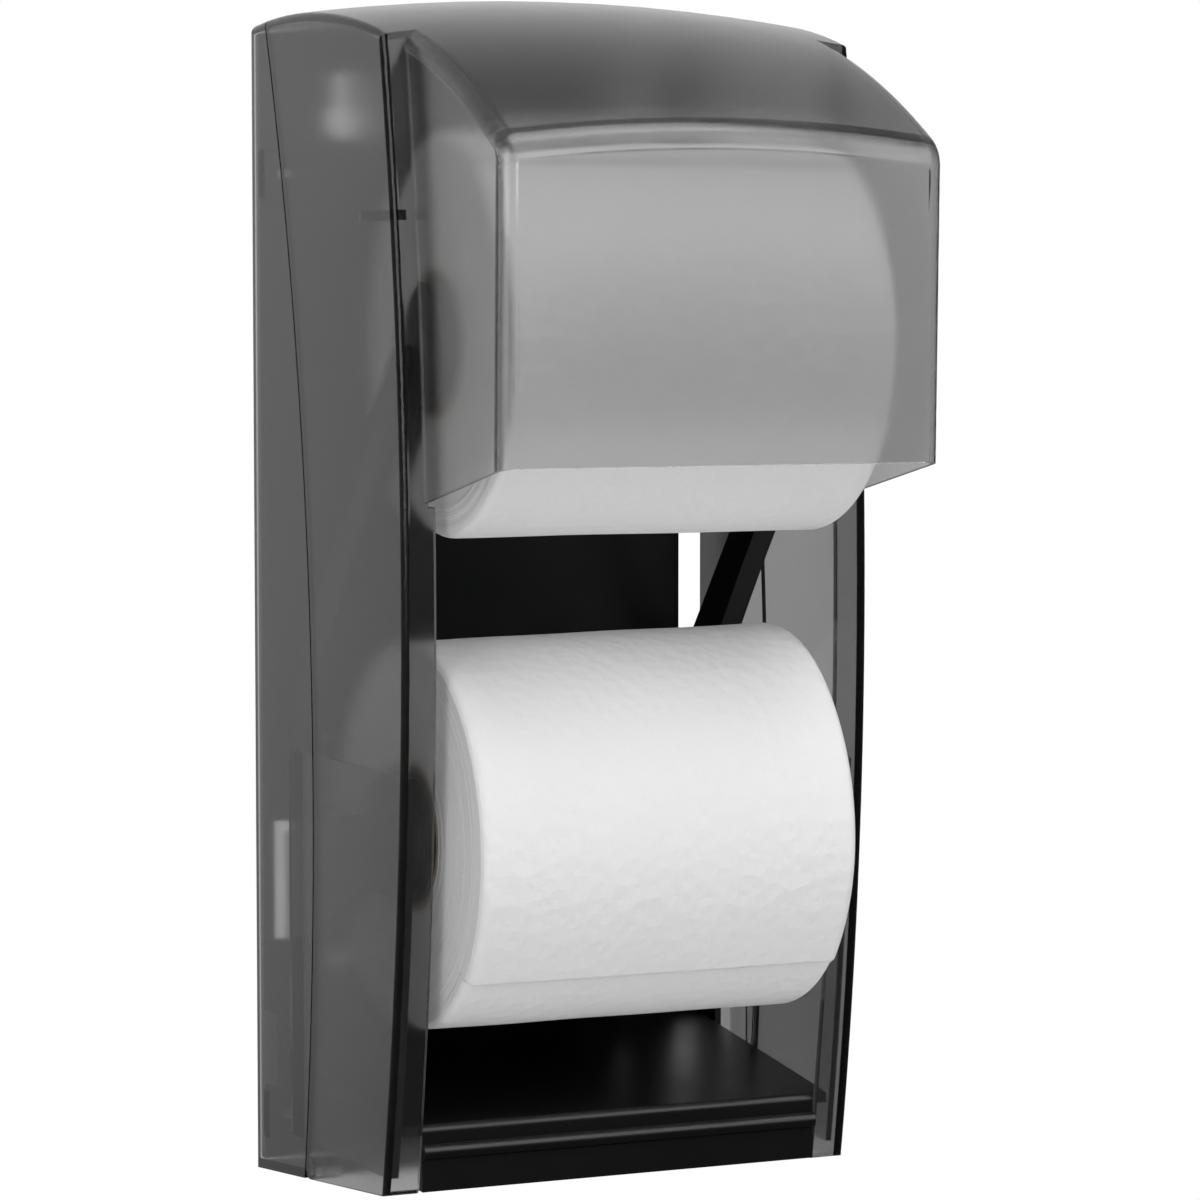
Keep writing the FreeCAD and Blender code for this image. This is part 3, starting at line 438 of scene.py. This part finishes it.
@dataclass(frozen=True)
class PlatedSteel:
    """Low-carbon steel, turned or coiled, with bright zinc plating."""

    name: str = "zinc_plated_steel"
    colour: str = "#c3c5c8"
    roughness: float = 0.32
    cloud_mm: float = 2.86
    cloud_share: tuple[float, float] = (0.8, 1.3)

    def make(self) -> bpy.types.Material:
        """Makes the material: bright metal with a slightly cloudy plating.

        Returns:
            The material.
        """
        material, tree, out = new_material(self.name)
        coords = add_node(tree, "ShaderNodeTexCoord")
        cloud = add_node(tree, "ShaderNodeTexNoise", {
            "Vector": coords.outputs["Object"], "Scale": 1.0 / (self.cloud_mm * MM), "Detail": 3.0})
        rough = add_node(tree, "ShaderNodeMapRange", {
            "Value": cloud.outputs["Fac"], "To Min": self.roughness * self.cloud_share[0],
            "To Max": self.roughness * self.cloud_share[1]})
        skin = add_node(tree, "ShaderNodeBsdfPrincipled", {
            "Base Color": linear(self.colour), "Metallic": 1.0, "Roughness": rough.outputs["Result"]})
        tree.links.new(skin.outputs[0], out.inputs["Surface"])
        return material


@dataclass
class Mouldings:
    """CAD nodes that keep their form and get a finish."""

    finish: SmokeStyrene | OpaquePlastic | CoreBoard | PlatedSteel
    nodes: tuple[str, ...]

    def dress(self) -> bpy.types.Material:
        """Gives every node of the group the finish.

        Returns:
            The finish's material.
        """
        material = self.finish.make()
        for name in self.nodes:
            mesh = frame["nodes"][name].data
            mesh.materials.clear()
            mesh.materials.append(material)
            LOG.info("%s: %s", name, self.finish.name)
        return material


@dataclass
class PaperRoll:
    """One wound roll of tissue on its core, with the loose end of the outer sheet.

    Angles count from the rear over the top to the front. swell_lean is 0 for a top that
    swells evenly and 1 for one that swells at the right end alone.
    """

    name: str
    body: Body
    node: str
    axle: Axle
    radius: float
    tail_deg: float
    lift_mm: float
    swell_mm: float
    swell_lean: float
    seed: int
    half_width: float = 56.5 * MM
    bore: float = 21.1 * MM
    rim: float = 2.8 * MM
    step: float = 0.7 * MM
    loose_share: float = 0.07
    swell_at_deg: float = 100.0
    swell_wide_deg: float = 38.0
    waves: tuple[int, ...] = (2, 3, 5, 8)
    wave_mm: float = 0.12
    wave_per_m: float = 25.0
    layer_mm: float = 0.16
    flat_mm: float = 0.1
    outer_share: float = 0.98
    around: int = 360
    face_rows: int = 36
    rim_rows: int = 9
    barrel_rows: int = 60

    def profile(self) -> tuple[np.ndarray, np.ndarray]:
        """Line from the left bore edge over the left end, the barrel and the right end.

        Returns:
            Distance along the axis and radius of each row, in metres.
        """
        turn = np.linspace(0.0, math.pi / 2, self.rim_rows)
        face = np.linspace(self.bore, self.radius - self.rim, self.face_rows)
        corner_x = -self.half_width + self.rim * (1 - np.cos(turn[1:]))
        corner_r = self.radius - self.rim + self.rim * np.sin(turn[1:])
        left_x = np.concatenate([np.full(self.face_rows, -self.half_width), corner_x])
        left_r = np.concatenate([face, corner_r])
        barrel = np.linspace(corner_x[-1], -corner_x[-1], self.barrel_rows)[1:-1]
        x = np.concatenate([left_x, barrel, -left_x[::-1]])
        r = np.concatenate([left_r, np.full(barrel.size, self.radius), left_r[::-1]])
        return x, r

    def surface(self) -> tuple[np.ndarray, np.ndarray]:
        """Winds the profile once round the axle.

        A turn starts at the loose end, one sheet lower than it ends, so the radius
        grows by the sheet step round the turn, in the outer sheets alone; the last part
        of the turn lifts by the square of the way along it. The loosely wound top swells
        as a bell curve of the angle, evenly or more to the right end. Soft waves of low
        number make the barrel and the ends a little uneven, and each wound layer stands
        out from the ends by a random bit.

        Returns:
            Points and texture values, each by row and column, in metres.
        """
        rng = np.random.default_rng(self.seed)
        x, r = self.profile()
        share = np.linspace(0.0, 1.0, self.around + 1)
        grown = np.clip((r - self.bore) / (self.radius - self.bore), 0.0, 1.0)[:, None]
        angle = math.radians(self.tail_deg) + 2 * math.pi * share[None, :]
        wave = np.zeros((x.size, share.size))
        for number in self.waves:
            phase, drift = rng.uniform(0, 2 * math.pi, 2)
            run = self.wave_per_m * (1 + drift) * x[:, None]
            wave += self.wave_mm * MM * np.sin(number * 2 * math.pi * share[None, :] + phase + run) / number
        loose = np.clip((share - 1 + self.loose_share) / self.loose_share, 0.0, 1.0)[None, :]
        lift = self.lift_mm * MM * loose ** 2 * grown ** 6
        turned = np.angle(np.exp(1j * (angle - math.radians(self.swell_at_deg))))
        lean = 1.0 - self.swell_lean * (1.0 - x / self.half_width)[:, None] / 2
        bell = np.exp(-(turned / math.radians(self.swell_wide_deg)) ** 2)
        swell = self.swell_mm * MM * bell * lean * grown ** 2
        step = self.step * (1 - share[None, :]) * grown ** 8
        radius = r[:, None] - step + lift + swell + wave * grown
        on_end = np.abs(x)[:, None] > self.half_width - self.flat_mm * MM
        layers = rng.normal(0.0, self.layer_mm * MM, x.size)[:, None] * on_end
        along = x[:, None] + layers + wave * np.sign(x)[:, None] * (grown < self.outer_share)
        centre_y, centre_z = self.axle.centre()
        points = np.stack([along, centre_y + radius * np.cos(angle), centre_z + radius * np.sin(angle)], -1)
        run = np.concatenate([[0.0], np.cumsum(np.hypot(np.diff(x), np.diff(r)))])
        uv = np.stack(np.broadcast_arrays(share[None, :] * 2 * math.pi * self.radius, run[:, None]), -1)
        return points, uv

    def crease(self, mesh: bpy.types.Mesh, rows: int, columns: int) -> None:
        """Keeps the edges of the sheet step crisp on the ends, where the step dies out.

        Args:
            mesh: the roll's mesh.
            rows: its rows of points along the profile.
            columns: its points round the axle.
        """
        ends = np.empty(2 * len(mesh.edges), dtype=np.int32)
        mesh.edges.foreach_get("vertices", ends)
        row, column = np.divmod(ends.reshape(-1, 2), columns)
        on_end = np.minimum(row, rows - 1 - row) < self.face_rows
        mesh.edges.foreach_set("use_edge_sharp", (on_end & np.isin(column, (0, columns - 1))).all(1))

    def build(self, material: bpy.types.Material) -> bpy.types.Object:
        """Makes the wound surface a closed mesh, with strips along the bore and the step.

        Args:
            material: finish of the roll.

        Returns:
            The roll, riding on its body.
        """
        points, uv = self.surface()
        rows, columns = points.shape[:2]
        bore = np.arange(columns)
        after = np.roll(bore, -1)
        far = (rows - 1) * columns
        strip = np.stack([after, after + far, bore + far, bore], -1)
        faces = np.concatenate([grid_faces(rows, columns), strip])
        roll = mesh_object(self.name, points.reshape(-1, 3), faces, uv.reshape(-1, 2))
        self.crease(roll.data, rows, columns)
        roll.data.materials.append(material)
        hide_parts(self.node)
        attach(roll, self.body.value)
        LOG.info("%s: %d points", self.name, rows * columns)
        return roll


@dataclass
class SpindleSpring:
    """Coil spring inside a telescopic spindle."""

    name: str
    node: str
    joint: str
    axle: Axle
    start_x: float = -54.0 * MM
    length: float = 50.8 * MM
    radius: float = 9.0 * MM
    wire: float = 0.8 * MM
    turns: int = 7
    steps: int = 420

    def build(self, material: bpy.types.Material) -> bpy.types.Object:
        """Carries a ring of eight points along a helix about the spindle's axis.

        The ring stands square to the way ahead: one of its directions is the way out
        from the axis, the other is the cross product of the two. Three faces close each end.

        Args:
            material: finish of the wire.

        Returns:
            The spring, riding on the chassis.
        """
        share = np.linspace(0.0, 1.0, self.steps)
        turn = 2 * math.pi * self.turns * share
        out = np.stack([np.zeros_like(turn), np.sin(turn), np.cos(turn)], -1)
        ahead = np.stack([np.full_like(turn, self.length / (2 * math.pi * self.turns)),
                          self.radius * np.cos(turn), -self.radius * np.sin(turn)], -1)
        across = np.cross(ahead / np.linalg.norm(ahead, axis=1)[:, None], out)
        centre_y, centre_z = self.axle.centre()
        middle = np.array([self.start_x, centre_y, centre_z]) + self.radius * out
        middle[:, 0] += self.length * share
        sides = 8
        ring = np.linspace(0.0, 2 * math.pi, sides, endpoint=False)[None, :, None]
        points = middle[:, None] + self.wire * (np.cos(ring) * out[:, None] + np.sin(ring) * across[:, None])
        cap = np.array([[0, 1, 2, 3], [0, 3, 4, 7], [7, 4, 5, 6]])
        faces = np.concatenate([grid_faces(self.steps, sides), cap[:, ::-1], cap + sides * (self.steps - 1)])
        spring = mesh_object(self.name, points.reshape(-1, 3), faces)
        spring.data.materials.append(material)
        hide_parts(self.node)
        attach(spring, Body.CHASSIS.value)
        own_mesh(spring)
        LOG.info("%s: %d turns", self.name, self.turns)
        return spring


def turn_to(place: tuple[float, float, float], aim: tuple[float, float, float]) -> Euler:
    """Turn of a lamp or camera at a place that faces the aim, upright."""
    return (Vector(aim) - Vector(place)).to_track_quat("-Z", "Y").to_euler()


@dataclass(frozen=True)
class SoftBox:
    """A rectangular soft box, sizes and places in metres."""

    name: str
    place: tuple[float, float, float]
    aim: tuple[float, float, float]
    size: tuple[float, float]
    watts: float

    def hang(self) -> None:
        """Adds the lamp to the scene, facing its aim."""
        data = bpy.data.lights.new(self.name, "AREA")
        data.shape = "RECTANGLE"
        data.size, data.size_y = self.size
        data.energy = self.watts
        lamp = bpy.data.objects.new(self.name, data)
        lamp.location = self.place
        lamp.rotation_euler = turn_to(self.place, self.aim)
        bpy.context.scene.collection.objects.link(lamp)


@dataclass
class Studio:
    """Pale floor, soft lamps, pale surroundings and the camera, in metres.

    front_level and back_level are what reflections see before and behind the object, and
    glass_level is the least that a look through the smoke sees; 1 is white.
    """

    floor_z: float = -0.30
    camera: tuple[float, float, float] = (-0.4654, -1.1714, 0.1971)
    target: tuple[float, float, float] = (0.01069, -0.060, 0.10981)
    lens_mm: float = 124.795
    sensor_mm: float = 36.0
    clip: tuple[float, float] = (0.01, 100.0)
    behind: tuple[float, float, float] = (0.05, 0.95, 0.31)
    front_level: float = 0.075
    back_level: float = 0.70
    glass_level: float = 0.58
    shadow_m: tuple[float, float] = (0.2, 0.95)
    near_glow: float = 0.4
    behind_cosine: tuple[float, float] = (0.5, 0.95)
    dim_height: tuple[float, float] = (0.3, 0.9)
    overhead_share: float = 0.5
    floor_half: float = 6.0
    floor_colour: str = "#eeeeee"
    boxes: tuple[SoftBox, ...] = (
        SoftBox("front_box", (0.43, -1.27, 1.12), (0.0, -0.08, 0.12), (1.25, 1.6), 13.5),
        SoftBox("top_box", (0.1, -0.62, 1.55), (0.0, -0.10, 0.2), (1.2, 0.8), 13.0),
        SoftBox("left_box", (-1.4, -1.0, 0.7), (0.0, -0.08, 0.1), (1.1, 1.3), 9.5),
    )

    def backdrop(self, tree: bpy.types.NodeTree, place: bpy.types.NodeSocket) -> bpy.types.NodeSocket:
        """Brightness of the surroundings by direction: pale behind the object, dim towards the camera.

        Args:
            tree: the tree of the world or the floor.
            place: direction or position seen from the object.

        Returns:
            The level, 1 for white.
        """
        way = add_node(tree, "ShaderNodeVectorMath", {0: place}, operation="NORMALIZE")
        behind = add_node(tree, "ShaderNodeVectorMath", {
            0: way.outputs[0], 1: self.behind}, operation="DOT_PRODUCT")
        level = add_node(tree, "ShaderNodeMapRange", {
            "Value": behind.outputs["Value"],
            "From Min": self.behind_cosine[0], "From Max": self.behind_cosine[1],
            "To Min": self.front_level, "To Max": self.back_level}, interpolation_type="SMOOTHSTEP")
        return level.outputs["Result"]

    def shown(self, tree: bpy.types.NodeTree, level: bpy.types.NodeSocket) -> bpy.types.NodeSocket:
        """Lifts a level to white for the camera and to the glass level for looks through the smoke.

        Args:
            tree: the tree of the world or the floor.
            level: what reflections see.

        Returns:
            The strength that the ray sees.
        """
        path = add_node(tree, "ShaderNodeLightPath")
        glass = add_node(tree, "ShaderNodeMath", {
            0: path.outputs["Is Transmission Ray"], 1: self.glass_level}, operation="MULTIPLY")
        white = add_node(tree, "ShaderNodeMath", {
            0: path.outputs["Is Camera Ray"], 1: glass.outputs[0]}, operation="MAXIMUM")
        lifted = add_node(tree, "ShaderNodeMath", {0: white.outputs[0], 1: level}, operation="MAXIMUM")
        return lifted.outputs[0]

    def floor(self) -> None:
        """A wide plain floor: white far off, lit matt paper with the object's shadow near it."""
        corner = np.array([-self.floor_half, self.floor_half])
        x, y = np.meshgrid(corner, corner, indexing="ij")
        points = np.stack([x, y, np.full_like(x, self.floor_z)], -1).reshape(-1, 3)
        plane = mesh_object("floor", points, np.array([[0, 2, 3, 1]]))
        material, tree, out = new_material("matt_white_studio_paper")
        coords = add_node(tree, "ShaderNodeTexCoord")
        matt = add_node(tree, "ShaderNodeBsdfDiffuse", {"Color": linear(self.floor_colour)})
        strength = self.shown(tree, self.backdrop(tree, coords.outputs["Object"]))
        glow = add_node(tree, "ShaderNodeEmission", {"Strength": strength})
        path = add_node(tree, "ShaderNodeLightPath")
        bent = add_node(tree, "ShaderNodeMath", {
            0: path.outputs["Is Glossy Ray"], 1: path.outputs["Is Transmission Ray"]}, operation="MAXIMUM")
        flat = add_node(tree, "ShaderNodeVectorMath", {
            0: coords.outputs["Object"], 1: (1.0, 1.0, 0.0)}, operation="MULTIPLY")
        reach = add_node(tree, "ShaderNodeVectorMath", {0: flat.outputs[0]}, operation="LENGTH")
        far = add_node(tree, "ShaderNodeMapRange", {
            "Value": reach.outputs["Value"], "From Min": self.shadow_m[0], "From Max": self.shadow_m[1],
            "To Min": self.near_glow, "To Max": 1.0}, interpolation_type="SMOOTHSTEP")
        clear = add_node(tree, "ShaderNodeMath", {
            0: path.outputs["Is Camera Ray"], 1: far.outputs["Result"]}, operation="MULTIPLY")
        shown = add_node(tree, "ShaderNodeMath", {
            0: clear.outputs[0], 1: bent.outputs[0]}, operation="MAXIMUM")
        both = add_node(tree, "ShaderNodeMixShader", {
            0: shown.outputs[0], 1: matt.outputs[0], 2: glow.outputs[0]})
        tree.links.new(both.outputs[0], out.inputs["Surface"])
        plane.data.materials.append(material)

    def world(self) -> None:
        """Backdrop that dims overhead, plain white to the camera and pale through the smoke."""
        world = bpy.data.worlds.new("studio")
        bpy.context.scene.world = world
        world.use_nodes = True
        tree = world.node_tree
        tree.nodes.clear()
        coords = add_node(tree, "ShaderNodeTexCoord")
        axis = add_node(tree, "ShaderNodeSeparateXYZ", {0: coords.outputs["Generated"]})
        height = add_node(tree, "ShaderNodeMapRange", {
            "Value": axis.outputs["Z"], "From Min": self.dim_height[0], "From Max": self.dim_height[1],
            "To Min": 1.0, "To Max": self.overhead_share}, interpolation_type="SMOOTHSTEP")
        around = self.backdrop(tree, coords.outputs["Generated"])
        level = add_node(tree, "ShaderNodeMath", {
            0: height.outputs["Result"], 1: around}, operation="MULTIPLY")
        room = add_node(tree, "ShaderNodeBackground", {
            "Color": linear("#ffffff"), "Strength": self.shown(tree, level.outputs[0])})
        out = add_node(tree, "ShaderNodeOutputWorld")
        tree.links.new(room.outputs[0], out.inputs["Surface"])

    def shoot(self) -> None:
        """Puts up the floor, the surroundings, the lamps and the camera."""
        self.floor()
        self.world()
        for box in self.boxes:
            box.hang()
        data = bpy.data.cameras.new("camera")
        data.lens = self.lens_mm
        data.sensor_width = self.sensor_mm
        data.clip_start, data.clip_end = self.clip
        camera = bpy.data.objects.new("camera", data)
        camera.location = self.camera
        camera.rotation_euler = turn_to(self.camera, self.target)
        bpy.context.scene.collection.objects.link(camera)
        bpy.context.scene.camera = camera
        bpy.context.scene.view_settings.view_transform = "Standard"


def main() -> None:
    """Dresses the frame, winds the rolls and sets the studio."""
    logging.basicConfig(level=logging.INFO, format="%(message)s")
    groups = (
        Mouldings(SmokeStyrene(), ("cover", "rear_housing")),
        Mouldings(OpaquePlastic("black_abs_satin_moulded", "#060607", 0.34), (
            "back_plate", "upper_arm_right", "upper_arm_left", "lower_arm_right", "lower_arm_left",
            "latch_guide", "latch_slide")),
        Mouldings(OpaquePlastic("black_abs_polished_moulded", "#080809", 0.32, grain_mm=0.8), ("base_tray",)),
        Mouldings(OpaquePlastic("grey_acetal_moulded", "#4a4b4d", 0.4), (
            "upper_spindle_sleeve", "lower_spindle_sleeve",
            "upper_spindle_plunger", "lower_spindle_plunger")),
        Mouldings(CoreBoard(), ("upper_roll_core", "lower_roll_core")),
    )
    for group in groups:
        group.dress()
    steel = Mouldings(PlatedSteel(), (
        "hinge_pin_right", "hinge_pin_left", "plate_screws", "arm_screws", "tray_screws")).dress()
    springs = (
        SpindleSpring("upper_spindle_coil", "upper_spindle_spring", "upper_spindle_plunge", Axle.UPPER),
        SpindleSpring("lower_spindle_coil", "lower_spindle_spring", "lower_spindle_plunge", Axle.LOWER),
    )
    for spring in springs:
        spring.build(steel)
    tissue = Tissue().make()
    rolls = (
        PaperRoll("upper_roll_tissue", Body.UPPER_ROLL, "upper_roll_paper", Axle.UPPER, radius=53.6 * MM,
                  tail_deg=120.0, lift_mm=0.3, swell_mm=4.5, swell_lean=0.0, seed=3),
        PaperRoll("lower_roll_tissue", Body.LOWER_ROLL, "lower_roll_paper", Axle.LOWER, radius=55.0 * MM,
                  tail_deg=221.0, lift_mm=0.7, swell_mm=2.2, swell_lean=1.0, seed=5),
    )
    for roll in rolls:
        roll.build(tissue)
    Studio().shoot()


if __name__ == "__main__":
    main()
